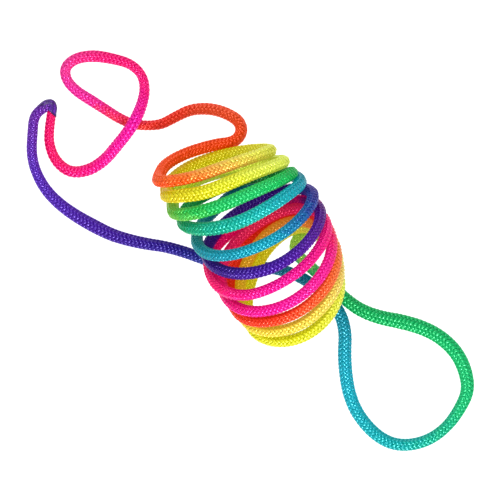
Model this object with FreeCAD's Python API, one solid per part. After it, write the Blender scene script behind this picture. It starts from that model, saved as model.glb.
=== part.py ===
"""Rainbow loop cord for string games, wound into a loose coil that lies on its side.

Frame, in millimetres: +Z is up and z = 0 is the surface that the cord lies on. +X runs from the
joint towards the foot loop, and the origin is under the middle of the object.

The cord is one endless braid. It leaves the fused joint, lies in a crossing loop, winds eleven
turns, lies in a foot loop, passes back under the turns and returns to the joint as a tail.
"""
import FreeCAD
import Part
import math
import os

from FreeCAD import Vector

# Driving dimensions
CORD_DIAMETER = 5.4
FLOOR_LINE = CORD_DIAMETER / 2          # height of the centre line of a stretch that lies down
ARC_SHARE = 0.45                        # share of the shorter run that a bend's arc takes
SLEEVE_RADIUS = CORD_DIAMETER / 2       # melted sleeve of the joint
SECTION_POINTS = 16                     # points round one section of the coil's outer shape
FOOT_FLATNESS = 0.8                     # below 1, the underside of a turn is flattened
TRIMMED_BELOW = 1.5                     # how far the turns' ovals would dip below the floor
COIL_MARGIN = 40.0                      # margin and depth of the block that trims them there

# The leading stretch: joint, crossing loop, red bend, and up into the first turn
CROSSING_LOOP = [
    (-86, 58, 2.7), (-87.5, 51.5, 2.7), (-87, 44.5, 2.7), (-84, 38, 2.7), (-78, 33.5, 2.7),
    (-70, 34.5, 2.7), (-63, 39, 3), (-57.5, 45.5, 6.6), (-52.5, 51.5, 9.2), (-49, 57.5, 9.2),
    (-46.5, 64, 5), (-45.5, 70.5, 2.8), (-47, 76.5, 2.7), (-52, 81, 2.7), (-59, 83, 2.7),
    (-67.5, 84.5, 2.7), (-75.5, 83.5, 2.7), (-80.5, 79.5, 2.7), (-80, 74, 2.7), (-75.5, 69, 2.7),
    (-69, 65, 2.7), (-62, 60.5, 2.7), (-56.5, 57, 2.7), (-50.5, 54.5, 2.7), (-44.5, 54, 2.7),
    (-38.5, 54.5, 2.7), (-33, 57.5, 2.7), (-26, 61, 2.7), (-19, 61.5, 2.7), (-13, 60.5, 2.7),
    (-7.5, 58, 2.7), (-4.5, 55.5, 2.7), (-3.5, 52, 2.7), (-5, 48.5, 2.7), (-8.5, 46.5, 2.8),
    (-14, 46, 3.4), (-21, 44.5, 5.5), (-28, 42.5, 8), (-34.5, 40, 11.5), (-39, 36.5, 16),
    (-40.5, 33, 21.4),
]

# The foot loop: out of the last turn, back on itself, round the loop and under the turns
FOOT_LOOP = [
    (39.5, -7, 13.6), (41, -6, 9), (39.5, -0.5, 5.5), (36.5, 4, 3.5), (31.5, 7, 2.7), (25.5, 7.5, 2.7),
    (21.5, 6, 2.7), (19.5, 2.5, 2.7), (20, -1.5, 2.7), (24, -5.5, 2.7), (30, -10.5, 2.7),
    (36, -16, 2.7), (41.5, -21.5, 2.7), (48.5, -26.5, 2.7), (57, -29.5, 2.7), (65.5, -31, 2.7),
    (74.5, -33.5, 2.7), (82.5, -37.5, 2.7), (89.5, -44, 2.7), (93.5, -52, 2.7), (95, -61, 2.7),
    (91, -69.5, 2.7), (85.5, -77, 2.7), (78, -82.5, 2.7), (69, -85, 2.7), (60.5, -84, 2.7),
    (53, -79, 2.7), (46.5, -71, 2.7), (43, -62.5, 2.7), (41.5, -53.5, 2.7), (41, -44.5, 2.7),
    (41.5, -36, 2.7), (39.5, -28, 2.7), (34.5, -21, 2.7), (28, -15.5, 2.7), (21.5, -11.5, 2.7),
    (15, -9, 2.7), (8, -7.5, 2.7), (1, -8.5, 2.7), (-5, -9.5, 2.7), (-11.5, -7.5, 2.7),
    (-17, -5, 2.7), (-22.5, -3, 2.7), (-29.5, -0.5, 2.7),
]

# The tail: from beside the coil back to the joint
TAIL = [
    (-26, -1.75, 2.7), (-29.5, -0.5, 2.7), (-37, 1.5, 2.7), (-44, 2.5, 2.7), (-51.5, 4, 2.7),
    (-60, 6.5, 2.7), (-68, 10.5, 2.7), (-76, 15, 2.7), (-83.5, 20.5, 2.7), (-89.5, 27, 2.7),
    (-93.5, 35, 2.7), (-95, 42.5, 2.7), (-94.5, 50.5, 2.7), (-93, 57.5, 2.7), (-90.5, 62.5, 2.7),
]

# The coil, turn by turn: the left and right ends of each turn in plan, the middle of its front,
# which is its top, and of its back, which lies on the floor, and the height of the top
TURN_LEFT = [
    (-40.5, 33), (-38.5, 24.5), (-34.5, 17.5), (-29, 11.5), (-23, 3), (-19.5, -2),
    (-17.5, -10), (-11.5, -19), (-7.5, -25), (-3.5, -29.5), (-0.5, -33.5),
]
TURN_RIGHT = [
    (11.5, 44), (16.5, 38.5), (19.5, 34.5), (23, 29.5), (28, 24), (31, 17.5),
    (34.5, 11), (35.5, 7), (37, 2), (38.5, -1.5), (39.5, -7),
]
TURN_FRONT = [
    (-23, 32.5), (-19, 26), (-12.5, 19.5), (-5, 12), (3.5, 1), (9, -7.5),
    (10.5, -16), (17, -22.5), (21.5, -26.5), (25.5, -29.5), (29, -34.5),
]
TURN_BACK = [
    (-23.5, 36.5), (-16.5, 31.5), (-10, 28), (-4.5, 27), (0.5, 22), (3.5, 15.5),
    (5, 13), (7, 11), (9, 9), (12, 6), (15, 3),
]
TURN_TOP = [40, 42, 42.5, 42, 41, 39.5, 38, 36, 33, 28.5, 24.5]

# The joint's knuckle, where the trailing end folds over and takes the leading end
KNUCKLE = (-86, 64.5, 2.7)


def bend_radius(before, point, after):
    """Radius of the arc that rounds the corner at point, and half of the turn there."""
    first = point - before
    second = after - point
    half_turn = first.getAngle(second) / 2
    return ARC_SHARE * min(first.Length, second.Length) / math.tan(half_turn), half_turn


def centre_line(points):
    """Straight runs joined by tangent arcs, as a wire, with the radii of its arcs."""
    corners = [Vector(*point) for point in points]
    edges = []
    radii = []
    start = corners[0]
    for before, point, after in zip(corners, corners[1:], corners[2:]):
        radius, half_turn = bend_radius(before, point, after)
        tangent = radius * math.tan(half_turn)
        towards = (before - point).normalize()
        away = (after - point).normalize()
        arc_start = point + towards * tangent
        arc_end = point + away * tangent
        inward = (towards + away).normalize()
        centre = point + inward * (radius / math.cos(half_turn))
        arc_middle = centre - inward * radius
        edges.append(Part.LineSegment(start, arc_start).toShape())
        edges.append(Part.Arc(arc_start, arc_middle, arc_end).toShape())
        radii.append(radius)
        start = arc_end
    edges.append(Part.LineSegment(start, corners[-1]).toShape())
    return Part.Wire(edges), radii


def cord_tube(name, points):
    """Plain round tube along a stretch that isn't coiled."""
    path, radii = centre_line(points)
    first, second = Vector(*points[0]), Vector(*points[1])
    ring = Part.makeCircle(CORD_DIAMETER / 2, first, second - first)
    shell = path.makePipeShell([Part.Wire([ring])], True, False)
    tube = Part.Solid(shell) if shell.ShapeType == "Shell" else shell
    section = math.pi * CORD_DIAMETER ** 2 / 4
    print(f"{name}: length {path.Length:.1f}, radii from {min(radii):.1f} to {max(radii):.1f}")
    print(f"{name}: volume {tube.Volume:.0f}, section times length {section * path.Length:.0f}")
    return tube


def turn_section(left, right, front, back, top):
    """Closed plane outline round the outside of one leaning turn."""
    left, right, front, back = (Vector(*place, 0) for place in (left, right, front, back))
    half_width = (right - left) / 2
    centre = (left + right) / 2
    across = Vector(half_width.y, -half_width.x, 0).normalize()
    front_reach = (front - centre).dot(across)
    back_reach = (back - centre).dot(across)
    centre += across * ((front_reach + back_reach) / 2)
    crown = top + CORD_DIAMETER / 2
    centre.z = (crown - TRIMMED_BELOW) / 2
    lean = across * ((front_reach - back_reach) / 2)
    lean.z = (top - FLOOR_LINE) / 2
    half_width *= 1 + CORD_DIAMETER / 2 / half_width.Length
    lean *= (crown + TRIMMED_BELOW) / 2 / lean.z
    points = []
    for step in range(SECTION_POINTS):
        angle = 2 * math.pi * step / SECTION_POINTS
        rise = math.sin(angle)
        if rise < 0:
            rise = -((-rise) ** FOOT_FLATNESS)
        points.append(centre + half_width * math.cos(angle) + lean * rise)
    curve = Part.BSplineCurve()
    curve.interpolate(Points=points, PeriodicFlag=True)
    return Part.Wire([curve.toShape()])


def wound_coil(stretches):
    """Outer shape of the eleven turns, flat on the floor, with room for the stretches in it."""
    sections = [
        turn_section(*turn)
        for turn in zip(TURN_LEFT, TURN_RIGHT, TURN_FRONT, TURN_BACK, TURN_TOP)
    ]
    bands = [Part.makeLoft(list(pair), True, True) for pair in zip(sections, sections[1:])]
    coil = bands[0].multiFuse(bands[1:])
    box = coil.BoundBox
    ground = Part.makeBox(
        box.XLength + 2 * COIL_MARGIN, box.YLength + 2 * COIL_MARGIN, COIL_MARGIN,
        Vector(box.XMin - COIL_MARGIN, box.YMin - COIL_MARGIN, -COIL_MARGIN),
    )
    coil = coil.cut(ground)
    for stretch in stretches:
        coil = coil.cut(stretch)
    return max(coil.Solids, key=lambda solid: solid.Volume)


def fused_joint():
    """Melted sleeve: the trailing end folds at the knuckle and laps over the leading end."""
    tail_end = Vector(*TAIL[-1])
    lead_end = Vector(*CROSSING_LOOP[0])
    knuckle = Vector(*KNUCKLE)
    joint = Part.makeSphere(SLEEVE_RADIUS, knuckle)
    for end in (tail_end, lead_end):
        arm = end - knuckle
        joint = joint.fuse(Part.makeCylinder(SLEEVE_RADIUS, arm.Length, knuckle, arm))
    return joint.removeSplitter()


def main():
    """Build every solid and write one STEP file for each."""
    crossing_loop = cord_tube("crossing_loop", CROSSING_LOOP)
    foot_loop = cord_tube("foot_loop", FOOT_LOOP[:-1] + [TAIL[0]])
    tail = cord_tube("tail", TAIL)
    nodes = {
        "crossing_loop": crossing_loop,
        "foot_loop": foot_loop,
        "tail": tail,
        "wound_coil": wound_coil([crossing_loop, foot_loop, tail]),
        "fused_joint": fused_joint().cut(crossing_loop).cut(tail),
    }
    os.makedirs("parts", exist_ok=True)
    for name, shape in nodes.items():
        box = shape.BoundBox
        print(f"{name}: valid {shape.isValid()}, solids {len(shape.Solids)}, "
              f"volume {shape.Volume:.0f}, x {box.XMin:.1f} to {box.XMax:.1f}, "
              f"y {box.YMin:.1f} to {box.YMax:.1f}, z {box.ZMin:.2f} to {box.ZMax:.2f}")
        shape.exportStep(f"parts/{name}.step")


main()
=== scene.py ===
"""Rainbow loop cord: its braid, filler core and melted joint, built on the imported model.

The cord is one endless braid. It lies in a crossing loop, winds eleven turns, lies in a foot
loop and comes back under the turns to its joint as a tail. Its route is given in millimetres,
and every other length is in metres.
"""
from __future__ import annotations

import logging
import math
from dataclasses import dataclass, field
from enum import Enum
from typing import Iterable, Sequence

import bpy
import numpy as np
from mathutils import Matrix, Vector


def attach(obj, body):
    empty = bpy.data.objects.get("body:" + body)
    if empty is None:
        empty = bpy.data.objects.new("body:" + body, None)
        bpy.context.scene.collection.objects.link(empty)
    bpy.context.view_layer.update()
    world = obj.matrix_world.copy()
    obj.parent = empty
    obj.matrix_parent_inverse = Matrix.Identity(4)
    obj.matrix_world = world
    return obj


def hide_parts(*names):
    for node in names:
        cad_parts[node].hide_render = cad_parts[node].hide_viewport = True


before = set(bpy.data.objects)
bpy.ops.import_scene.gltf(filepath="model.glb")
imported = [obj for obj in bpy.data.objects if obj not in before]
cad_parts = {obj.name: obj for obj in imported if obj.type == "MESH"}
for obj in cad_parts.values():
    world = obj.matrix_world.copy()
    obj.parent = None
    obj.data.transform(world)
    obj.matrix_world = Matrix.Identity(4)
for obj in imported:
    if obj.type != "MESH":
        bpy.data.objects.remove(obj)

log = logging.getLogger("loop_cord")

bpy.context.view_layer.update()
MM = 0.001
CORD_DIAMETER = 5.4 * MM
FLOOR_LINE = CORD_DIAMETER / 2
FULL_TURN = 2 * math.pi
UP = np.array([0.0, 0.0, 1.0])
Point = tuple[float, float, float]
Colour = tuple[int, int, int]
Shade = tuple[float, float, float, float]


class Stretch(Enum):
    """A stretch of the cord, in the order in which they follow the joint."""

    CROSSING_LOOP = "crossing loop"
    COIL = "coil"
    FOOT_LOOP = "foot loop"
    TAIL = "tail"


class Lay(Enum):
    """Which way a yarn winds round the cord."""

    LEFT = 1
    RIGHT = -1


# --------------------------------------------------------------------------- the cord's route


@dataclass
class Route:
    """The line that the cord lies along, from the joint round to the joint, in millimetres.

    A turn of the coil starts at its left end, goes over its front, which is its top, to its right
    end, and comes back along the floor to the left end of the next turn.
    """

    crossing_loop: Sequence[Point] = (
        (-86, 60.5, 2.7), (-87.5, 51.5, 2.7), (-87, 44.5, 2.7), (-84, 38, 2.7),
        (-78, 33.5, 2.7), (-70, 34.5, 2.7), (-63, 39, 3), (-57.5, 45.5, 6.6),
        (-52.5, 51.5, 9.2), (-49, 57.5, 9.2), (-46.5, 64, 5), (-45.5, 70.5, 2.8),
        (-47, 76.5, 2.7), (-52, 81, 2.7), (-59, 83, 2.7), (-67.5, 84.5, 2.7),
        (-75.5, 83.5, 2.7), (-80.5, 79.5, 2.7), (-80, 74, 2.7), (-75.5, 69, 2.7),
        (-69, 65, 2.7), (-62, 60.5, 2.7), (-56.5, 57, 2.7), (-50.5, 54.5, 2.7),
        (-44.5, 54, 2.7), (-38.5, 54.5, 2.7), (-33, 57.5, 2.7), (-26, 61, 2.7),
        (-19, 61.5, 2.7), (-13, 60.5, 2.7), (-7.5, 58, 2.7), (-4.5, 55.5, 2.7),
        (-3.5, 52, 2.7), (-5, 48.5, 2.7), (-8.5, 46.5, 2.8), (-14, 46, 3.4),
        (-21, 44.2, 5.5), (-27.5, 42, 8), (-33.5, 39, 11.5), (-37.5, 35.8, 16),
    )
    foot_loop: Sequence[Point] = (
        (38.3, -4.5, 9), (36.8, 0, 5.5), (34.5, 4, 3.5), (30.5, 6.5, 2.7),
        (25.5, 7.3, 2.7), (21.5, 6, 2.7), (19.5, 2.5, 2.7), (20, -1.5, 2.7),
        (24, -5.5, 2.7), (30, -10.5, 2.7), (36, -16, 2.7), (41.5, -21.5, 2.7),
        (48.5, -26.5, 2.7), (57, -29.5, 2.7), (65.5, -31, 2.7), (74.5, -33.5, 2.7),
        (82.5, -37.5, 2.7), (89.5, -44, 2.7), (93.5, -52, 2.7), (95, -61, 2.7),
        (91, -69.5, 2.7), (85.5, -77, 2.7), (78, -82.5, 2.7), (69, -85, 2.7),
        (60.5, -84, 2.7), (53, -79, 2.7), (46.5, -71, 2.7), (43, -62.5, 2.7),
        (41.5, -53.5, 2.7), (41, -44.5, 2.7), (41.5, -36, 2.7), (39.5, -28, 2.7),
        (34.5, -21, 2.7), (28, -15.5, 2.7), (21.5, -11.5, 2.7), (15, -9, 2.7),
        (8, -7.5, 2.7), (1, -8.5, 2.7), (-5, -9.5, 2.7), (-11.5, -7.5, 2.7),
        (-17, -5, 2.7), (-22.5, -3, 2.7),
    )
    tail: Sequence[Point] = (
        (-29.5, -0.5, 2.7), (-37, 1.5, 2.7), (-44, 2.5, 2.7), (-51.5, 4, 2.7),
        (-60, 6.5, 2.7), (-68, 10.5, 2.7), (-76, 15, 2.7), (-83.5, 20.5, 2.7),
        (-89.5, 27, 2.7), (-93.5, 35, 2.7), (-95, 42.5, 2.7), (-94.5, 50.5, 2.7),
        (-94, 57.2, 2.7), (-91.5, 60.8, 2.7), (-87.8, 62.8, 2.7),
    )
    turn_left: Sequence[tuple[float, float]] = (
        (-39.1, 32), (-35.8, 23.4), (-33.6, 16.8), (-29, 11.5), (-23, 3), (-19.5, -2),
        (-17.5, -10), (-11.5, -19), (-7.5, -25), (-3.5, -29.5), (-0.5, -33.5),
    )
    turn_right: Sequence[tuple[float, float]] = (
        (10.9, 43.2), (16.5, 38.5), (19.5, 34.5), (23, 29.5), (28, 24), (31, 17.5),
        (34.5, 11), (35.5, 7), (37, 2.8), (37.3, -1.2), (36.6, -5),
    )
    turn_front: Sequence[tuple[float, float]] = (
        (-23, 31.2), (-19, 26), (-12.5, 19.5), (-5, 12), (3.5, 1), (9, -7.5),
        (10.5, -16), (17, -22.5), (21.5, -26), (25.5, -29.5), (28.3, -34.2),
    )
    turn_back: Sequence[tuple[float, float]] = (
        (-23.5, 36.5), (-16.5, 28.9), (-8.8, 22), (-4.5, 27), (1.2, 20.6), (2.8, 15.5),
        (5, 13), (7, 11), (9, 9), (12, 6),
    )
    turn_top: Sequence[float] = (40, 42, 42.5, 42, 41, 39.5, 38, 36, 33, 28.5, 24.5)
    # How far the right half of each front hangs forward, and the left half of each back swings
    # to the left
    turn_sag: Sequence[float] = (-0.6, 1.3, 1.3, 1.4, 1.1, 1.6, 1.5, 1.3, 1.2, 1.9, 0.6)
    turn_swing: Sequence[float] = (-1.4, 0, 0, 0, 0, 2.0, 2.0, 1.8, 0.5, 0.5)
    # How high each back lies on the cord under it
    turn_bedding: Sequence[float] = (0, 0, 4, 0, 0, 0, 4, 0, 4, 2.5)
    # Single points of the coil that lie out of line: number, shift to the right, shift away
    shifts: Sequence[tuple[int, float, float]] = (
        (1, 0.4, -0.2), (2, 0, -0.2), (3, 0, -0.3), (4, 0, 0.9), (5, 0, 0.9), (8, 0, 0.5),
        (9, 0, 1.1), (10, 0.6, 1.1), (11, 0.6, 0.6), (12, 0, 0.6), (13, 0.8, 1), (14, 0, 0.3),
        (15, 0, -1.1), (16, 0, 0.8), (17, 0, 0.9), (19, -0.5, 0.6), (20, -1, 1.7),
        (21, -0.7, 4), (22, 0.9, 5.3), (23, 1, 4.5), (24, 0.3, 1), (25, 0.3, 0.3),
        (26, 0, -0.4), (27, 0, -0.2), (28, 0, 1), (29, 0, 0.2), (30, 0, -0.7),
        (32, -1.3, 4.2), (33, -0.7, 6.7), (34, -0.8, 6.8), (35, 0.4, 5.8), (36, -0.6, 1),
        (37, -0.4, 0.9), (38, 0, 0.3), (40, 0, 1.6), (41, -0.2, 1.9), (46, 0.7, -1),
        (48, -0.4, 0), (51, 0, 0.6), (52, -0.2, 0.7), (53, -0.2, 0.8), (59, 0.7, 0),
        (64, -0.3, 0.6), (65, -0.3, 0.7), (67, 0, 0.6), (70, 0.2, -0.1), (73, 0, -0.3),
        (74, 0, -0.8), (75, -0.1, 0.7), (76, -0.5, 1.5), (77, -0.8, 1.6), (78, -0.6, 0.2),
        (79, 0, 0.6), (82, -0.4, 0.1), (85, 0.1, 0.2), (86, 0, 0.2), (91, 0, 0.4),
        (92, 0, 0.4), (98, 0, 0.3), (103, 0, -1.4), (104, 0, -0.8), (111, 0, 0.3),
        (112, 0, 0.6), (115, 0, -0.6), (116, 0, -0.2),
    )
    steepness_down: float = 1.25
    steepness_up: float = 0.85
    points_per_turn: int = 12
    samples_per_point: int = 12

    def _front(self, turn: int) -> list[Point]:
        """Works out a turn's front, from its left end up to before its right end."""
        left, right, front = (
            np.array(places[turn], float)
            for places in (self.turn_left, self.turn_right, self.turn_front)
        )
        centre, reach = (left + right) / 2, (right - left) / 2
        foot, half = FLOOR_LINE / MM, self.points_per_turn // 2
        points: list[Point] = []
        for step in range(half):
            angle = math.pi * step / half
            place = centre - reach * math.cos(angle) + (front - centre) * math.sin(angle)
            place[1] -= self.turn_sag[turn] * math.sin(angle) * (1 - math.cos(angle)) / 2
            height = foot + (self.turn_top[turn] - foot) * (1 + math.sin(angle)) / 2
            points.append((place[0], place[1], height))
        return points

    def _back(self, turn: int) -> list[Point]:
        """Works out a turn's back, from its right end to before the next turn's left end."""
        right = np.array(self.turn_right[turn], float)
        left = np.array(self.turn_left[turn + 1], float)
        back = np.array(self.turn_back[turn], float)
        centre, reach = (left + right) / 2, (right - left) / 2
        foot, half = FLOOR_LINE / MM, self.points_per_turn // 2
        crown = (self.turn_top[turn] + self.turn_top[turn + 1]) / 2 - foot
        points: list[Point] = []
        for step in range(half):
            angle = math.pi * step / half
            place = centre + reach * math.cos(angle) + (back - centre) * math.sin(angle)
            place[0] -= self.turn_swing[turn] * max(0.0, -math.cos(angle))
            steepness = self.steepness_down if step * 2 < half else self.steepness_up
            rise = crown / 2 * (1 - math.sin(angle)) ** steepness
            height = foot + rise + self.turn_bedding[turn] * math.sin(angle)
            points.append((place[0], place[1], height))
        return points

    def coil(self) -> list[Point]:
        """Works out the turns, which lean with their tops forward.

        Returns:
            The control points of the turns, in millimetres.
        """
        points: list[Point] = []
        last = len(self.turn_top) - 1
        for turn in range(last):
            points += self._front(turn) + self._back(turn)
        foot = FLOOR_LINE / MM
        end = foot + (self.turn_top[last] - foot) / 2
        points += [*self._front(last), (*self.turn_right[last], end)]
        for number, across, away in self.shifts:
            x, y, height = points[number]
            points[number] = (x + across, y + away, height)
        return points

    def control_points(self) -> np.ndarray:
        """Returns all control points of the cord, in metres, in order."""
        whole = [*self.crossing_loop, *self.coil(), *self.foot_loop, *self.tail]
        return np.array(whole, float) * MM

    def index(self, stretch: Stretch, place: float) -> float:
        """Finds where a place on a stretch stands among the control points.

        Args:
            stretch: The stretch of the cord.
            place: A point's number on it, or on the coil a turn's number, with its left end
                at .0, front at .25, right end at .5 and back at .75.

        Returns:
            The place as a fractional index of the control points.
        """
        coil_start = len(self.crossing_loop)
        foot_start = coil_start + len(self.coil())
        starts = {
            Stretch.CROSSING_LOOP: 0,
            Stretch.COIL: coil_start,
            Stretch.FOOT_LOOP: foot_start,
            Stretch.TAIL: foot_start + len(self.foot_loop),
        }
        if stretch is Stretch.COIL:
            return starts[stretch] + (place - 1) * self.points_per_turn
        return starts[stretch] + place


def smooth_line(points: np.ndarray, samples: int) -> np.ndarray:
    """Reads a smooth line through a NURBS spline that has the given control points.

    Args:
        points: The control points, in metres.
        samples: How finely each span of the spline is read.

    Returns:
        The points of the line.
    """
    curve = bpy.data.curves.new("guide", "CURVE")
    curve.dimensions = "3D"
    curve.resolution_u = samples
    spline = curve.splines.new("NURBS")
    spline.points.add(len(points) - 1)
    spline.points.foreach_set("co", np.column_stack([points, np.ones(len(points))]).ravel())
    spline.order_u = 3
    spline.use_endpoint_u = True
    guide = bpy.data.objects.new("guide", curve)
    bpy.context.scene.collection.objects.link(guide)
    bpy.context.view_layer.update()
    mesh = bpy.data.meshes.new_from_object(guide)
    line = np.zeros(len(mesh.vertices) * 3)
    mesh.vertices.foreach_get("co", line)
    bpy.data.objects.remove(guide)
    bpy.data.curves.remove(curve)
    bpy.data.meshes.remove(mesh)
    return line.reshape(-1, 3)


def unit(vectors: np.ndarray) -> np.ndarray:
    """Scales vectors to a length of one."""
    return vectors / np.linalg.norm(vectors, axis=-1, keepdims=True)


def travel_along(points: np.ndarray) -> np.ndarray:
    """Returns how far along a line each of its points is."""
    steps = np.linalg.norm(np.diff(points, axis=0), axis=1)
    return np.concatenate([[0.0], np.cumsum(steps)])


def points_at(distances: np.ndarray, travel: np.ndarray, points: np.ndarray) -> np.ndarray:
    """Reads a line at distances along it.

    Args:
        distances: Where on the line, in an array of any shape.
        travel: How far along each of the line's points is.
        points: The line's points.

    Returns:
        A point for each distance.
    """
    return np.stack([np.interp(distances, travel, points[:, axis]) for axis in range(3)], axis=-1)


@dataclass
class CordLine:
    """The cord's centre line as read from its spline, with a frame at every point of it."""

    route: Route
    points: np.ndarray = field(init=False)
    travel: np.ndarray = field(init=False)

    def __post_init__(self) -> None:
        """Reads the line and measures how far along each of its points is."""
        self.points = smooth_line(self.route.control_points(), self.route.samples_per_point)
        self.travel = travel_along(self.points)

    @property
    def length(self) -> float:
        """Returns the cord's length."""
        return float(self.travel[-1])

    def distance(self, stretch: Stretch, place: float) -> float:
        """Returns how far along the cord a place on a stretch is."""
        spans = len(self.route.control_points()) - 2
        share = np.clip(self.route.index(stretch, place) - 0.5, 0, spans) / spans
        count = len(self.travel)
        return float(np.interp(share * (count - 1), range(count), self.travel))

    def at(self, distances: np.ndarray) -> tuple[np.ndarray, np.ndarray, np.ndarray]:
        """Gives the line and a frame that doesn't twist along it.

        Args:
            distances: Where on the cord, in metres from its start.

        Returns:
            Points, and two unit vectors across the cord at each point.
        """
        points = points_at(distances, self.travel, self.points)
        tangents = unit(np.gradient(points, axis=0))
        side = np.cross(tangents[0], UP)
        sides = np.empty_like(points)
        for number, tangent in enumerate(tangents):
            side = side - tangent * side.dot(tangent)
            side /= np.linalg.norm(side)
            sides[number] = side
        return points, sides, np.cross(tangents, sides)


@dataclass(frozen=True)
class Fullness:
    """How wide the braid lies along the cord, against its nominal diameter."""

    places: Sequence[tuple[Stretch, float, float]] = (
        (Stretch.CROSSING_LOOP, 0, 0.78), (Stretch.CROSSING_LOOP, 2, 0.84),
        (Stretch.CROSSING_LOOP, 5, 0.98), (Stretch.CROSSING_LOOP, 9, 0.98),
        (Stretch.CROSSING_LOOP, 12, 0.80), (Stretch.CROSSING_LOOP, 15, 1.0),
        (Stretch.CROSSING_LOOP, 18, 0.86), (Stretch.CROSSING_LOOP, 20, 0.93),
        (Stretch.CROSSING_LOOP, 24, 0.82), (Stretch.CROSSING_LOOP, 28, 1.0),
        (Stretch.CROSSING_LOOP, 32, 1.02), (Stretch.COIL, 1, 0.97), (Stretch.COIL, 2.1, 1.12),
        (Stretch.COIL, 2.3, 1.2), (Stretch.COIL, 2.5, 1.0),
        (Stretch.COIL, 3.1, 1.12), (Stretch.COIL, 3.5, 1.02),
        (Stretch.COIL, 4.2, 1.16), (Stretch.COIL, 4.45, 1.05), (Stretch.COIL, 4.8, 0.97),
        (Stretch.COIL, 5.3, 0.92), (Stretch.COIL, 6.2, 1.0), (Stretch.COIL, 6.42, 0.88),
        (Stretch.COIL, 11, 0.97), (Stretch.FOOT_LOOP, 9, 1.0),
        (Stretch.FOOT_LOOP, 14, 1.26), (Stretch.FOOT_LOOP, 18, 1.18),
        (Stretch.FOOT_LOOP, 21, 0.95), (Stretch.FOOT_LOOP, 24, 1.05),
        (Stretch.FOOT_LOOP, 29, 1.14), (Stretch.FOOT_LOOP, 33, 1.0),
        (Stretch.TAIL, 1, 0.98), (Stretch.TAIL, 5, 1.14),
        (Stretch.TAIL, 9, 0.88), (Stretch.TAIL, 13, 0.86),
    )

    def along(self, line: CordLine, distances: np.ndarray) -> np.ndarray:
        """Returns the width factor at each distance along the cord."""
        stops = [line.distance(stretch, place) for stretch, place, _ in self.places]
        return np.interp(distances, stops, [width for _, _, width in self.places])


def laid_flat(
    offsets: np.ndarray,
    tangents: np.ndarray,
    widths: np.ndarray,
    level_from: float = 0.375,
    slimming: float = 0.6,
) -> np.ndarray:
    """Spreads offsets from the centre line sideways, as a soft braid lies.

    Args:
        offsets: Vectors from the centre line, one row for each point of the line.
        tangents: The line's direction at each row.
        widths: The width factor at each row.
        level_from: How level the line is, from 0 upright to 1 flat, where the spread sets in.
        slimming: How much of a narrowing the cord's height shares.

    Returns:
        The offsets, wider or narrower across the floor, and a little thinner with them.
    """
    level = np.cross(tangents, UP)
    size = np.linalg.norm(level, axis=1)
    level /= np.maximum(size, 1e-6)[:, None]
    flatness = np.clip((size - level_from) / (1 - level_from), 0, 1)
    spread = (widths - 1) * flatness
    sideways = np.einsum("nkc,nc->nk", offsets, level)
    wide = offsets + (sideways * spread[:, None])[:, :, None] * level[:, None, :]
    thin = 1 + np.minimum(widths - 1, 0) * slimming * flatness
    rest = wide - np.einsum("nkc,nc->nk", wide, level)[:, :, None] * level[:, None, :]
    return wide + rest * (thin - 1)[:, None, None]


# --------------------------------------------------------------------------- mesh building


def tube_mesh(name: str, rings: np.ndarray) -> bpy.types.Mesh:
    """Builds a closed tube from its rings of points.

    Args:
        name: The mesh's name.
        rings: Points by ring and by place round the ring.

    Returns:
        The mesh, smooth shaded and capped at both ends.
    """
    count, sides, _ = rings.shape
    first = np.arange(count - 1)[:, None] * sides
    here = np.arange(sides)[None, :]
    after = (here + 1) % sides
    quads = np.stack(
        [first + here, first + after, first + sides + after, first + sides + here], axis=-1
    ).reshape(-1, 4)
    mesh = bpy.data.meshes.new(name)
    mesh.vertices.add(count * sides)
    mesh.vertices.foreach_set("co", rings.reshape(-1))
    mesh.loops.add(quads.size + 2 * sides)
    caps = np.concatenate([np.arange(sides)[::-1], (count - 1) * sides + np.arange(sides)])
    mesh.loops.foreach_set("vertex_index", np.concatenate([quads.ravel(), caps]))
    mesh.polygons.add(len(quads) + 2)
    starts = np.concatenate([np.arange(len(quads)) * 4, [quads.size, quads.size + sides]])
    mesh.polygons.foreach_set("loop_start", starts)
    mesh.update(calc_edges=True)
    mesh.polygons.foreach_set("use_smooth", np.ones(len(mesh.polygons), bool))
    return mesh


def add_numbers(mesh: bpy.types.Mesh, name: str, values: np.ndarray) -> None:
    """Stores one number for each vertex, for a finish to read."""
    attribute = mesh.attributes.new(name, "FLOAT", "POINT")
    attribute.data.foreach_set("value", values.astype(np.float32).ravel())


def add_corner_numbers(mesh: bpy.types.Mesh, name: str, rings: int, sides: int) -> None:
    """Stores how far round the tube each face corner is, from 0 to 1 with no seam."""
    place = np.arange(sides) / sides
    after = (np.arange(sides) + 1) / sides
    quad = np.stack([place, after, after, place], axis=-1)
    values = np.concatenate([np.tile(quad.ravel(), rings - 1), np.zeros(2 * sides)])
    attribute = mesh.attributes.new(name, "FLOAT", "CORNER")
    attribute.data.foreach_set("value", values.astype(np.float32))


def piece_of(mesh: bpy.types.Mesh, finish: bpy.types.Material) -> bpy.types.Object:
    """Makes a piece that rides the cord's body and wears a finish.

    Args:
        mesh: The piece's mesh.
        finish: Its material.

    Returns:
        The piece.
    """
    piece = bpy.data.objects.new(mesh.name, mesh)
    bpy.context.scene.collection.objects.link(piece)
    mesh.materials.append(finish)
    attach(piece, "root")
    log.info("%s: %d faces", piece.name, len(mesh.polygons))
    return piece


# --------------------------------------------------------------------------- shader graphs


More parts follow.
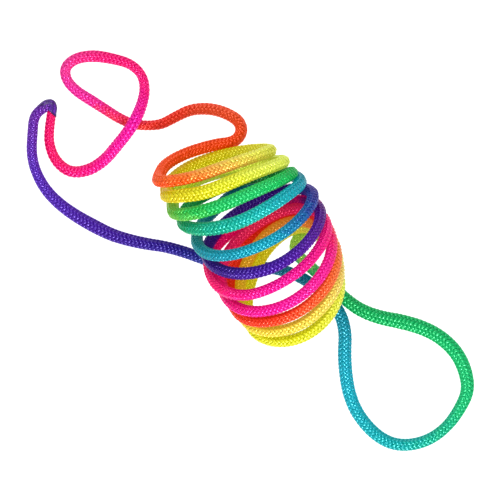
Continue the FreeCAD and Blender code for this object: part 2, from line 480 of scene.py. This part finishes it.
@dataclass(frozen=True)
class Value:
    """A number on a shader socket. Arithmetic on it adds Math nodes."""

    graph: "Graph"
    socket: bpy.types.NodeSocket

    def __add__(self, other: Number) -> Value:
        """Returns the sum."""
        return self.graph.maths("ADD", self, other)

    def __radd__(self, other: Number) -> Value:
        """Returns the sum, with the number first."""
        return self.graph.maths("ADD", other, self)

    def __sub__(self, other: Number) -> Value:
        """Returns the difference."""
        return self.graph.maths("SUBTRACT", self, other)

    def __rsub__(self, other: Number) -> Value:
        """Returns the difference from a number."""
        return self.graph.maths("SUBTRACT", other, self)

    def __mul__(self, other: Number) -> Value:
        """Returns the product."""
        return self.graph.maths("MULTIPLY", self, other)

    def __rmul__(self, other: Number) -> Value:
        """Returns the product, with the number first."""
        return self.graph.maths("MULTIPLY", other, self)

    def __truediv__(self, other: Number) -> Value:
        """Returns the quotient."""
        return self.graph.maths("DIVIDE", self, other)

    def sine(self) -> Value:
        """Returns the sine."""
        return self.graph.maths("SINE", self)


Number = Value | float


class Graph:
    """The nodes of one finish."""

    def __init__(self, name: str) -> None:
        """Starts an empty finish with its output node.

        Args:
            name: The material's name.
        """
        self.material = bpy.data.materials.new(name)
        self.material.use_nodes = True
        self.tree = self.material.node_tree
        self.tree.nodes.clear()
        self.output = self.tree.nodes.new("ShaderNodeOutputMaterial")

    def node(self, kind: str, settings: dict | None = None, **inputs: object) -> bpy.types.Node:
        """Adds a node, sets it up, and then fills its sockets.

        Args:
            kind: The node's type, without ShaderNode in front.
            settings: Its settings, such as an operation, or stops for a ramp.
            **inputs: A value or link for each socket, by name or by s and its number.

        Returns:
            The node.
        """
        node = self.tree.nodes.new("ShaderNode" + kind)
        for key, value in (settings or {}).items():
            if key == "stops":
                self._fill_ramp(node.color_ramp, value)
            else:
                setattr(node, key, value)
        for key, value in inputs.items():
            number = key[1:]
            place = int(number) if key[0] == "s" and number.isdigit() else key.replace("_", " ")
            socket = node.inputs[place]
            if isinstance(value, Value):
                value = value.socket
            if isinstance(value, bpy.types.NodeSocket):
                self.tree.links.new(value, socket)
            else:
                socket.default_value = value
        return node

    @staticmethod
    def _fill_ramp(ramp: bpy.types.ColorRamp, stops: Iterable[tuple[float, Shade]]) -> None:
        """Puts stops on a ramp, in place of the two that it starts with."""
        stops = sorted(stops)
        while len(ramp.elements) > 1:
            ramp.elements.remove(ramp.elements[0])
        ramp.elements[0].position = stops[0][0]
        ramp.elements[0].color = stops[0][1]
        for place, colour in stops[1:]:
            ramp.elements.new(place).color = colour

    def maths(self, operation: str, *values: Number) -> Value:
        """Adds a Math node and returns its result."""
        inputs = {f"s{number}": value for number, value in enumerate(values)}
        return Value(self, self.node("Math", {"operation": operation}, **inputs).outputs[0])

    def attribute(self, name: str) -> Value:
        """Returns the number that a mesh stores under a name."""
        return Value(self, self.node("Attribute", {"attribute_name": name}).outputs["Fac"])

    def noise(self, scale: float, detail: float = 2.0) -> Value:
        """Returns noise over the object, at a scale in lumps for each metre."""
        place = self.node("TexCoord").outputs["Object"]
        node = self.node("TexNoise", Vector=place, Scale=scale, Detail=detail)
        return Value(self, node.outputs["Fac"])

    def spread(self, value: Value, low: float, high: float) -> Value:
        """Maps a number from between low and high to between 0 and 1."""
        node = self.node("MapRange", {"clamp": True}, s0=value, s1=low, s2=high)
        return Value(self, node.outputs[0])

    def mix(self, factor: Number, first: object, second: object, blend: str = "MIX") -> object:
        """Mixes two colours and returns the mixture's socket."""
        node = self.node(
            "Mix", {"data_type": "RGBA", "blend_type": blend}, s0=factor, s6=first, s7=second
        )
        return node.outputs[2]


def linear(colour: Colour) -> Shade:
    """Turns a screen colour from 0 to 255 into the linear one that shaders use."""
    red, green, blue = (
        share / 12.92 if share <= 0.04045 else ((share + 0.055) / 1.055) ** 2.4
        for share in (part / 255 for part in colour)
    )
    return red, green, blue, 1.0


def grey(level: float) -> Shade:
    """Returns a grey of a linear level, with which a colour is multiplied."""
    return level, level, level, 1.0


# --------------------------------------------------------------------------- finishes


@dataclass(frozen=True)
class RainbowDye:
    """The dye along the cord: a rainbow from pink to violet that repeats once."""

    stops: Sequence[tuple[Stretch, float, Colour]] = (
        (Stretch.CROSSING_LOOP, 1, (255, 0, 118)),
        (Stretch.CROSSING_LOOP, 4, (255, 0, 116)),
        (Stretch.CROSSING_LOOP, 6, (255, 5, 152)),
        (Stretch.CROSSING_LOOP, 9, (255, 5, 176)),
        (Stretch.CROSSING_LOOP, 12, (255, 0, 126)),
        (Stretch.CROSSING_LOOP, 15, (252, 5, 128)),
        (Stretch.CROSSING_LOOP, 18, (250, 62, 160)),
        (Stretch.CROSSING_LOOP, 20, (246, 35, 172)),
        (Stretch.CROSSING_LOOP, 22, (252, 46, 108)),
        (Stretch.CROSSING_LOOP, 24, (252, 72, 62)),
        (Stretch.CROSSING_LOOP, 26, (255, 62, 32)),
        (Stretch.CROSSING_LOOP, 29, (255, 102, 60)),
        (Stretch.CROSSING_LOOP, 34, (255, 84, 8)),
        (Stretch.CROSSING_LOOP, 38, (255, 86, 10)),
        (Stretch.COIL, 1.1, (255, 92, 22)),
        (Stretch.COIL, 1.2, (255, 112, 22)),
        (Stretch.COIL, 1.3, (250, 185, 80)),
        (Stretch.COIL, 1.4, (240, 236, 88)),
        (Stretch.COIL, 1.5, (226, 232, 82)),
        (Stretch.COIL, 1.68, (226, 214, 12)),
        (Stretch.COIL, 2.05, (232, 205, 16)),
        (Stretch.COIL, 2.2, (228, 216, 8)),
        (Stretch.COIL, 2.3, (236, 238, 40)),
        (Stretch.COIL, 2.45, (232, 245, 98)),
        (Stretch.COIL, 2.85, (205, 225, 40)),
        (Stretch.COIL, 3.05, (138, 200, 62)),
        (Stretch.COIL, 3.2, (30, 196, 82)),
        (Stretch.COIL, 3.3, (40, 210, 122)),
        (Stretch.COIL, 3.45, (8, 200, 95)),
    )
    second_stops: Sequence[tuple[Stretch, float, Colour]] = (
        (Stretch.COIL, 3.62, (0, 118, 55)),
        (Stretch.COIL, 3.85, (0, 140, 65)),
        (Stretch.COIL, 4.05, (0, 165, 92)),
        (Stretch.COIL, 4.2, (0, 180, 146)),
        (Stretch.COIL, 4.3, (15, 195, 185)),
        (Stretch.COIL, 4.45, (0, 175, 195)),
        (Stretch.COIL, 4.62, (0, 98, 112)),
        (Stretch.COIL, 4.85, (0, 120, 135)),
        (Stretch.COIL, 5.0, (0, 150, 150)),
        (Stretch.COIL, 5.15, (0, 158, 180)),
        (Stretch.COIL, 5.3, (0, 178, 200)),
        (Stretch.COIL, 5.45, (26, 78, 172)),
        (Stretch.COIL, 5.56, (58, 12, 136)),
        (Stretch.COIL, 5.8, (66, 8, 136)),
        (Stretch.COIL, 6.1, (54, 6, 132)),
        (Stretch.COIL, 6.25, (75, 18, 165)),
        (Stretch.COIL, 6.35, (88, 14, 170)),
        (Stretch.COIL, 6.47, (96, 10, 150)),
        (Stretch.COIL, 6.55, (92, 10, 120)),
        (Stretch.COIL, 6.62, (245, 0, 115)),
        (Stretch.COIL, 7.1, (255, 0, 120)),
        (Stretch.COIL, 7.25, (255, 0, 162)),
        (Stretch.COIL, 7.4, (255, 5, 150)),
        (Stretch.COIL, 7.7, (252, 50, 95)),
        (Stretch.COIL, 8.0, (252, 0, 125)),
        (Stretch.COIL, 8.2, (255, 5, 165)),
        (Stretch.COIL, 8.42, (255, 30, 160)),
        (Stretch.COIL, 8.55, (252, 60, 60)),
    )
    third_stops: Sequence[tuple[Stretch, float, Colour]] = (
        (Stretch.COIL, 8.7, (253, 60, 25)),
        (Stretch.COIL, 9.05, (253, 60, 22)),
        (Stretch.COIL, 9.2, (255, 70, 30)),
        (Stretch.COIL, 9.35, (255, 110, 52)),
        (Stretch.COIL, 9.5, (253, 150, 80)),
        (Stretch.COIL, 9.72, (252, 165, 50)),
        (Stretch.COIL, 9.95, (246, 215, 35)),
        (Stretch.COIL, 10.2, (250, 222, 80)),
        (Stretch.COIL, 10.3, (250, 228, 98)),
        (Stretch.COIL, 10.42, (250, 214, 120)),
        (Stretch.COIL, 10.52, (238, 235, 110)),
        (Stretch.COIL, 10.75, (242, 228, 28)),
        (Stretch.COIL, 11.2, (232, 232, 28)),
        (Stretch.COIL, 11.4, (238, 242, 88)),
        (Stretch.FOOT_LOOP, 3, (182, 226, 70)),
        (Stretch.FOOT_LOOP, 6, (172, 228, 96)),
        (Stretch.FOOT_LOOP, 7.3, (105, 212, 135)),
        (Stretch.FOOT_LOOP, 9, (40, 186, 104)),
        (Stretch.FOOT_LOOP, 11, (4, 180, 100)),
        (Stretch.FOOT_LOOP, 15, (4, 188, 108)),
        (Stretch.FOOT_LOOP, 19, (14, 196, 122)),
        (Stretch.FOOT_LOOP, 21, (8, 186, 148)),
        (Stretch.FOOT_LOOP, 23, (0, 178, 178)),
        (Stretch.FOOT_LOOP, 27, (0, 176, 196)),
        (Stretch.FOOT_LOOP, 29, (0, 166, 188)),
        (Stretch.FOOT_LOOP, 31, (0, 142, 165)),
        (Stretch.FOOT_LOOP, 36, (10, 115, 150)),
        (Stretch.FOOT_LOOP, 39, (25, 60, 150)),
        (Stretch.TAIL, 0, (45, 25, 150)),
        (Stretch.TAIL, 4, (76, 24, 162)),
        (Stretch.TAIL, 8, (94, 40, 188)),
        (Stretch.TAIL, 12, (116, 40, 172)),
    )
    speckle: float = 900.0

    def colour(self, graph: Graph, line: CordLine, wobble: float) -> object:
        """Adds the dye to a finish.

        Args:
            graph: The finish.
            line: The cord's centre line, on which the stops are placed.
            wobble: How far the fine speckle moves the dye along the cord.

        Returns:
            The colour's socket.
        """
        along = graph.attribute("dyed_at") + (graph.noise(self.speckle) - 0.5) * wobble
        share = along / line.length
        mixed: object = None
        reached = 0.0
        for stops in (self.stops, self.second_stops, self.third_stops):
            placed = [
                (line.distance(stretch, place) / line.length, linear(colour))
                for stretch, place, colour in stops
            ]
            ramp = graph.node("ValToRGB", {"stops": placed}, Fac=share).outputs["Color"]
            if mixed is None:
                mixed = ramp
            else:
                mixed = graph.mix(graph.spread(share, reached, placed[0][0]), mixed, ramp)
            reached = placed[-1][0]
        return mixed


@dataclass(frozen=True)
class YarnFinish:
    """Glossy multifilament yarn, dyed through the rainbow, with painted shade between the yarns
    and a painted glow.
    """

    depth: float = 0.46
    # The next three numbers paint shade into the dye: a yarn's colour is multiplied by this grey
    # where it dips under its neighbours, fading out from valley to ridge of its crown number.
    valley_painted_shade: Shade = (0.28, 0.27, 0.32, 1)
    valley: float = -0.9
    ridge: float = 0.3
    roughness: float = 0.31
    roughness_spread: float = 0.25
    sheen: float = 0.36
    # Strength of a painted glow: the yarn gives off its own dye colour, with its painted shade,
    # to lift the shaded places. A real cord of this kind gives no light.
    glow: float = 0.275
    gloss: float = 0.6
    dye_wobble: float = 5 * MM
    filaments: int = 11
    filament_lay: float = 2600.0
    fuzz_scale: float = 4200.0
    filament_relief: float = 0.5
    fuzz_relief: float = 0.9
    relief_strength: float = 0.35
    relief_height: float = 0.07 * MM

    def material(self, dye: RainbowDye, line: CordLine) -> bpy.types.Material:
        """Makes the yarns' material.

        Args:
            dye: The dye along the cord.
            line: The cord's centre line.

        Returns:
            The material.
        """
        graph = Graph("dyed_yarn")
        crown = graph.attribute("crown")
        round_yarn = graph.attribute("round_yarn")
        along = graph.attribute("along")
        colour = dye.colour(graph, line, self.dye_wobble)
        # Painted shade: the dye is darkened where the yarn dips between its neighbours.
        painted_valley_shade = graph.mix(1.0, colour, self.valley_painted_shade, "MULTIPLY")
        dye_with_painted_shade = graph.mix(graph.spread(crown, self.valley, self.ridge), painted_valley_shade, colour)
        shade = graph.mix(1.0, dye_with_painted_shade, grey(self.depth), "MULTIPLY")
        around = round_yarn * (FULL_TURN * self.filaments)
        threads = (around + along * self.filament_lay).sine()
        fuzz = graph.noise(self.fuzz_scale, 3.0)
        relief = graph.node(
            "Bump",
            {},
            Strength=self.relief_strength,
            Distance=self.relief_height,
            Height=threads * self.filament_relief + fuzz * self.fuzz_relief,
        )
        surface = graph.node(
            "BsdfPrincipled",
            {},
            Base_Color=shade,
            Roughness=self.roughness + (fuzz - 0.5) * self.roughness_spread,
            Normal=relief.outputs[0],
            # Painted glow: emission in the yarn's own shaded dye colour.
            Emission_Color=dye_with_painted_shade,
            Emission_Strength=self.glow,
            Metallic=self.sheen,
            Specular_IOR_Level=self.gloss,
        )
        graph.tree.links.new(surface.outputs[0], graph.output.inputs[0])
        return graph.material


@dataclass(frozen=True)
class FillerFinish:
    """Soft filler inside the braid, stained by the dye and dimmed as painted shade where it shows
    between the yarns.
    """

    # How far the dye is dimmed, as painted shade in the gaps between the yarns.
    depth: float = 0.22
    dye_wobble: float = 8 * MM
    roughness: float = 0.75
    roughness_spread: float = 0.2
    fluff_scale: float = 2500.0

    def material(self, dye: RainbowDye, line: CordLine) -> bpy.types.Material:
        """Makes the filler's material.

        Args:
            dye: The dye along the cord.
            line: The cord's centre line.

        Returns:
            The material.
        """
        graph = Graph("dyed_filler")
        colour = dye.colour(graph, line, self.dye_wobble)
        # Painted shade: the filler's dye, dimmed so that the gaps between the yarns read as
        # shaded.
        painted_gap_shade = graph.mix(1.0, colour, grey(self.depth), "MULTIPLY")
        rough = self.roughness + (graph.noise(self.fluff_scale) - 0.5) * self.roughness_spread
        surface = graph.node("BsdfPrincipled", {}, Base_Color=painted_gap_shade, Roughness=rough)
        graph.tree.links.new(surface.outputs[0], graph.output.inputs[0])
        return graph.material


@dataclass(frozen=True)
class MeltedFinish:
    """Fibre of the trailing end, melted and glazed into a sleeve."""

    body: Colour = (62, 8, 112)
    rim: Colour = (22, 3, 50)
    streak: Colour = (112, 52, 180)
    streaks_around: int = 7
    streak_wander: float = 9.0
    streak_cover: float = 0.55
    streak_relief: float = 0.3
    pit_cover: float = 0.5
    rim_from: float = 0.35
    lump_scale: float = 700.0
    roughness: float = 0.42
    roughness_spread: float = 0.3
    glaze: float = 0.1
    relief_strength: float = 0.5
    relief_height: float = 0.2 * MM

    def material(self) -> bpy.types.Material:
        """Makes the melted sleeve's material."""
        graph = Graph("melted_fibre")
        edge = graph.attribute("rim")
        round_yarn = graph.attribute("round_yarn")
        lumps = graph.noise(self.lump_scale, 3.0)
        around = round_yarn * (FULL_TURN * self.streaks_around)
        streaks = (around + lumps * self.streak_wander).sine()
        streaked = graph.spread(streaks, 0.25, 1.0) * self.streak_cover
        colour = graph.mix(streaked, linear(self.body), linear(self.streak))
        pitted = graph.spread(lumps, 0.62, 0.38) * self.pit_cover
        colour = graph.mix(pitted, colour, linear(self.rim))
        colour = graph.mix(graph.spread(edge, self.rim_from, 1.0), colour, linear(self.rim))
        relief = graph.node(
            "Bump",
            {},
            Strength=self.relief_strength,
            Distance=self.relief_height,
            Height=lumps + streaks * self.streak_relief,
        )
        surface = graph.node(
            "BsdfPrincipled",
            {},
            Base_Color=colour,
            Roughness=self.roughness + (lumps - 0.5) * self.roughness_spread,
            Normal=relief.outputs[0],
            Coat_Weight=self.glaze,
        )
        graph.tree.links.new(surface.outputs[0], graph.output.inputs[0])
        return graph.material


# --------------------------------------------------------------------------- sub-assemblies


@dataclass
class Braid:
    """Sixteen yarns, half of each lay, plaited two over and two under round the filler."""

    line: CordLine
    fullness: Fullness
    yarns_per_lay: int = 8
    lay_length: float = 14 * MM
    steps_per_lay: int = 32
    yarn_sides: int = 8
    middle_radius: float = 1.99 * MM
    wave: float = 0.34 * MM
    half_width: float = 0.63 * MM
    half_thickness: float = 0.38 * MM
    # How much wider and thicker a yarn is on top of the others, and how squarely it climbs there
    wider_on_top: float = 0.06
    thicker_on_top: float = 0.10
    climb: float = 0.3
    roundness: float = 0.72
    # How unevenly the yarns wind and bulge
    slow_drift: float = 113 * MM
    quick_drift: float = 41 * MM
    slow_share: float = 0.65
    drift: float = 0.05
    grain: float = 0.012
    # How far the dye runs ahead on a yarn, on the whole and on one side of the cord
    dye_drift: float = 4 * MM
    dye_slant: float = 5 * MM
    seed: int = 7

    def _wander(self, travel: np.ndarray, phase: float, reach: float) -> np.ndarray:
        """Returns a slow uneven drift along the cord, between plus and minus about reach."""
        slow = np.sin(FULL_TURN * (travel / self.slow_drift + phase))
        quick = np.sin(FULL_TURN * (travel / self.quick_drift + 2.7 * phase))
        return reach * (self.slow_share * slow + (1 - self.slow_share) * quick)

    def yarn(self, lay: Lay, number: int, rng: np.random.Generator) -> bpy.types.Mesh:
        """Builds one yarn along the whole cord.

        Args:
            lay: Which way it winds.
            number: Its number among the yarns of its lay.
            rng: Where its unevenness comes from.

        Returns:
            Its mesh, with the numbers that the finish reads.
        """
        count = int(self.line.length / self.lay_length * self.steps_per_lay)
        travel = np.linspace(0, self.line.length, count)
        points, sides, ups = self.line.at(travel)
        tangents = unit(np.gradient(points, axis=0))
        widths = self.fullness.along(self.line, travel)
        phase, unevenness = rng.random(2)
        winding = FULL_TURN * travel / self.lay_length
        angle = FULL_TURN * number / self.yarns_per_lay + lay.value * winding
        angle = angle + self._wander(travel, phase, self.drift)
        crossings = self.yarns_per_lay // 2
        weave = np.cos(crossings * (angle - math.pi / (4 * crossings))) * lay.value
        weave = weave * (1 + self.climb - self.climb * weave ** 2)
        bulge = 1 + self._wander(travel, unevenness, self.drift)
        bulge = bulge + rng.normal(0, self.grain, count)
        radius = self.middle_radius + self.wave * weave
        outward = sides * np.cos(angle)[:, None] + ups * np.sin(angle)[:, None]
        centres = outward * radius[:, None]
        heading = unit(np.gradient(points + centres, axis=0))
        across = unit(np.cross(heading, outward))
        turn = FULL_TURN * np.arange(self.yarn_sides) / self.yarn_sides
        wide = self.half_width * bulge * (1 + self.wider_on_top * weave)
        thick = self.half_thickness * bulge * (1 + self.thicker_on_top * weave)
        level, tall = (
            np.sign(part) * abs(part) ** self.roundness for part in (np.cos(turn), np.sin(turn))
        )
        offsets = (
            centres[:, None, :]
            + across[:, None, :] * (wide[:, None] * level[None, :])[:, :, None]
            + outward[:, None, :] * (thick[:, None] * tall[None, :])[:, :, None]
        )
        rings = points[:, None, :] + laid_flat(offsets, tangents, widths)
        mesh = tube_mesh(f"yarn_{lay.name.lower()}_{number + 1}", rings)
        rows = np.ones(self.yarn_sides)
        shift = self._wander(travel, phase + 0.31, self.dye_drift)
        shift = shift + self.dye_slant * np.cos(angle + 0.8)
        add_numbers(mesh, "dyed_at", (travel + shift)[:, None] * rows)
        add_numbers(mesh, "along", travel[:, None] * rows)
        # How high each point lies on the braid, which the finish reads to paint shade where a
        # yarn dips under its neighbours.
        add_numbers(mesh, "crown", weave[:, None] * np.sin(turn)[None, :])
        add_corner_numbers(mesh, "round_yarn", count, self.yarn_sides)
        return mesh

    def build(self, finish: bpy.types.Material) -> list[bpy.types.Object]:
        """Builds and dresses all the yarns.

        Args:
            finish: The yarns' material.

        Returns:
            The yarns.
        """
        rng = np.random.default_rng(self.seed)
        return [
            piece_of(self.yarn(lay, number, rng), finish)
            for lay in Lay
            for number in range(self.yarns_per_lay)
        ]


@dataclass
class Filler:
    """The soft core that the yarns are braided round."""

    line: CordLine
    fullness: Fullness
    radius: float = 1.95 * MM
    step: float = 1.2 * MM
    around: int = 14

    def build(self, finish: bpy.types.Material) -> tuple[bpy.types.Object, list[tuple]]:
        """Builds the core.

        Args:
            finish: The filler's material.

        Returns:
            The core, and the centres of its rings.
        """
        count = int(self.line.length / self.step)
        travel = np.linspace(0, self.line.length, count)
        points, sides, ups = self.line.at(travel)
        tangents = np.cross(sides, ups)
        turn = FULL_TURN * np.arange(self.around) / self.around
        offsets = self.radius * (
            sides[:, None, :] * np.cos(turn)[None, :, None]
            + ups[:, None, :] * np.sin(turn)[None, :, None]
        )
        widths = self.fullness.along(self.line, travel)
        mesh = tube_mesh("filler_core", points[:, None, :] + laid_flat(offsets, tangents, widths))
        add_numbers(mesh, "dyed_at", travel[:, None] * np.ones(self.around))
        return piece_of(mesh, finish), [tuple(point) for point in points]


@dataclass
class MeltedSleeve:
    """The joint: the trailing end, melted, folded over and closed round the leading end."""

    bend: Sequence[Point] = (
        (-92.3, 59.2, 2.6), (-90.5, 61.6, 2.7), (-88.2, 63.1, 2.7), (-86.4, 63.6, 2.7),
        (-86, 61.9, 2.7), (-86.3, 60, 2.7), (-86.5, 57.8, 2.7),
    )
    radii: Sequence[float] = (1.9, 2.2, 2.3, 2.2, 2.3, 2.4, 2.35)
    rings: int = 90
    around: int = 40
    lip: float = 0.22 * MM
    samples_per_point: int = 24
    slant: float = 0.26
    pleats: int = 9
    pleat_height: float = 0.05 * MM
    lumps: float = 23
    lump_skew: float = 2.1
    lump_height: float = 0.07 * MM
    heading_reach: float = 0.2 * MM
    # How many rings back the mouth folds in, and where along the sleeve its rim begins
    fold: int = 8
    rim_from: float = 0.86

    def build(self, finish: bpy.types.Material) -> bpy.types.Object:
        """Builds the sleeve, with a slanting mouth round the leading end.

        Args:
            finish: The melted fibre's material.

        Returns:
            The sleeve.
        """
        line = smooth_line(np.array(self.bend) * MM, self.samples_per_point)
        travel = travel_along(line)
        share = np.linspace(0, 1, self.rings)
        turn = FULL_TURN * np.arange(self.around) / self.around
        mouth = 1 - self.slant * (1 + np.cos(turn))[None, :] / 2 * share[:, None] ** 2
        places = share[:, None] * mouth
        radii = np.interp(places, np.linspace(0, 1, len(self.radii)), self.radii) * MM
        pleats = self.pleat_height * np.sin(self.pleats * turn)[None, :]
        pleats = pleats * np.sin(math.pi * places)
        skew = self.lump_skew * np.cos(turn)[None, :]
        radii = radii + pleats + self.lump_height * np.sin(self.lumps * places + skew)
        distances = places * travel[-1]
        centres = points_at(distances, travel, line)
        ahead = points_at(distances + self.heading_reach, travel, line)
        behind = points_at(distances - self.heading_reach, travel, line)
        side = np.cross(unit(ahead - behind), UP)
        outward = side * np.cos(turn)[None, :, None] + UP * np.sin(turn)[None, :, None]
        skin = centres + outward * radii[..., None]
        skin[..., 2] = np.maximum(skin[..., 2], 0.0)
        inner = centres[-1] + outward[-1] * (radii[-1] - self.lip)[:, None]
        inside = -self.fold
        back = centres[inside] + outward[inside] * (radii[inside] - 2 * self.lip)[:, None]
        rings = np.concatenate([skin, inner[None], back[None]])
        mesh = tube_mesh("melted_sleeve", rings)
        edge = np.clip((share - self.rim_from) / (1 - self.rim_from), 0, 1)
        add_numbers(mesh, "rim", np.append(edge, [1, 1])[:, None] * np.ones(self.around))
        add_corner_numbers(mesh, "round_yarn", len(rings), self.around)
        return piece_of(mesh, finish)


@dataclass
class LoopCord:
    """The whole cord: filler, braid and melted joint."""

    route: Route = field(default_factory=Route)
    dye: RainbowDye = field(default_factory=RainbowDye)
    fullness: Fullness = field(default_factory=Fullness)
    joint: Point = (-86, 58, 2.7)

    def build(self) -> None:
        line = CordLine(self.route)
        log.info("cord: %.3f m long", line.length)
        filler = Filler(line, self.fullness)
        core, path = filler.build(FillerFinish().material(self.dye, line))
        yarns = Braid(line, self.fullness).build(YarnFinish().material(self.dye, line))
        sleeve = MeltedSleeve().build(MeltedFinish().material())
        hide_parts("crossing_loop", "foot_loop", "tail", "wound_coil")
        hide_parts("fused_joint")


@dataclass
class Studio:
    """A pale floor, soft light, and a camera that looks straight down from far off."""

    camera_height: float = 2.0
    view_width: float = 0.2175
    # The camera's sensor, in millimetres
    sensor: float = 36.0
    clip_end: float = 20.0
    floor_size: float = 4.0
    floor_grey: float = 0.12
    floor_roughness: float = 0.9
    floor_gloss: float = 0.1
    floor_glow: float = 1.0
    surroundings: float = 0.42

    def floor(self) -> None:
        """Lays a plain pale floor."""
        half = self.floor_size / 2
        mesh = bpy.data.meshes.new("floor")
        square = [(-half, -half, 0), (half, -half, 0), (half, half, 0), (-half, half, 0)]
        mesh.from_pydata(square, [], [(0, 1, 2, 3)])
        graph = Graph("pale_floor")
        surface = graph.node(
            "BsdfPrincipled",
            {},
            Base_Color=grey(self.floor_grey),
            Roughness=self.floor_roughness,
            Specular_IOR_Level=self.floor_gloss,
            Emission_Color=grey(1.0),
            Emission_Strength=self.floor_glow,
        )
        graph.tree.links.new(surface.outputs[0], graph.output.inputs[0])
        mesh.materials.append(graph.material)
        floor = bpy.data.objects.new("floor", mesh)
        bpy.context.scene.collection.objects.link(floor)

    def light(self, name: str, place: Point, size: float, power: float) -> None:
        """Hangs a square soft light that faces the object.

        Args:
            name: The light's name.
            place: Where it hangs, in metres.
            size: The length of its side.
            power: Its power in watts.
        """
        lamp = bpy.data.lights.new(name, "AREA")
        lamp.shape = "SQUARE"
        lamp.size = size
        lamp.energy = power
        holder = bpy.data.objects.new(name, lamp)
        bpy.context.scene.collection.objects.link(holder)
        holder.location = place
        holder.rotation_euler = Vector(place).to_track_quat("Z", "Y").to_euler()

    def build(self) -> None:
        """Sets up the floor, the lights, the surroundings and the camera."""
        self.floor()
        self.light("key", (0.08, -0.80, 0.74), 0.36, 15.5)
        self.light("back", (-0.1, 0.7, 0.95), 0.8, 8.0)
        world = bpy.data.worlds.new("studio")
        world.use_nodes = True
        background = world.node_tree.nodes["Background"]
        background.inputs["Color"].default_value = grey(1.0)
        background.inputs["Strength"].default_value = self.surroundings
        scene = bpy.context.scene
        scene.world = world
        scene.view_settings.view_transform = "Standard"
        scene.view_settings.look = "Medium High Contrast"
        camera = bpy.data.cameras.new("camera")
        camera.sensor_width = self.sensor
        camera.lens = self.sensor * self.camera_height / self.view_width
        camera.clip_end = self.clip_end
        holder = bpy.data.objects.new("camera", camera)
        scene.collection.objects.link(holder)
        holder.location = (0.0, 0.0, self.camera_height)
        scene.camera = holder


def main() -> None:
    """Builds the cord and the studio."""
    logging.basicConfig(level=logging.INFO)
    Studio().build()
    LoopCord().build()


if __name__ == "__main__":
    main()
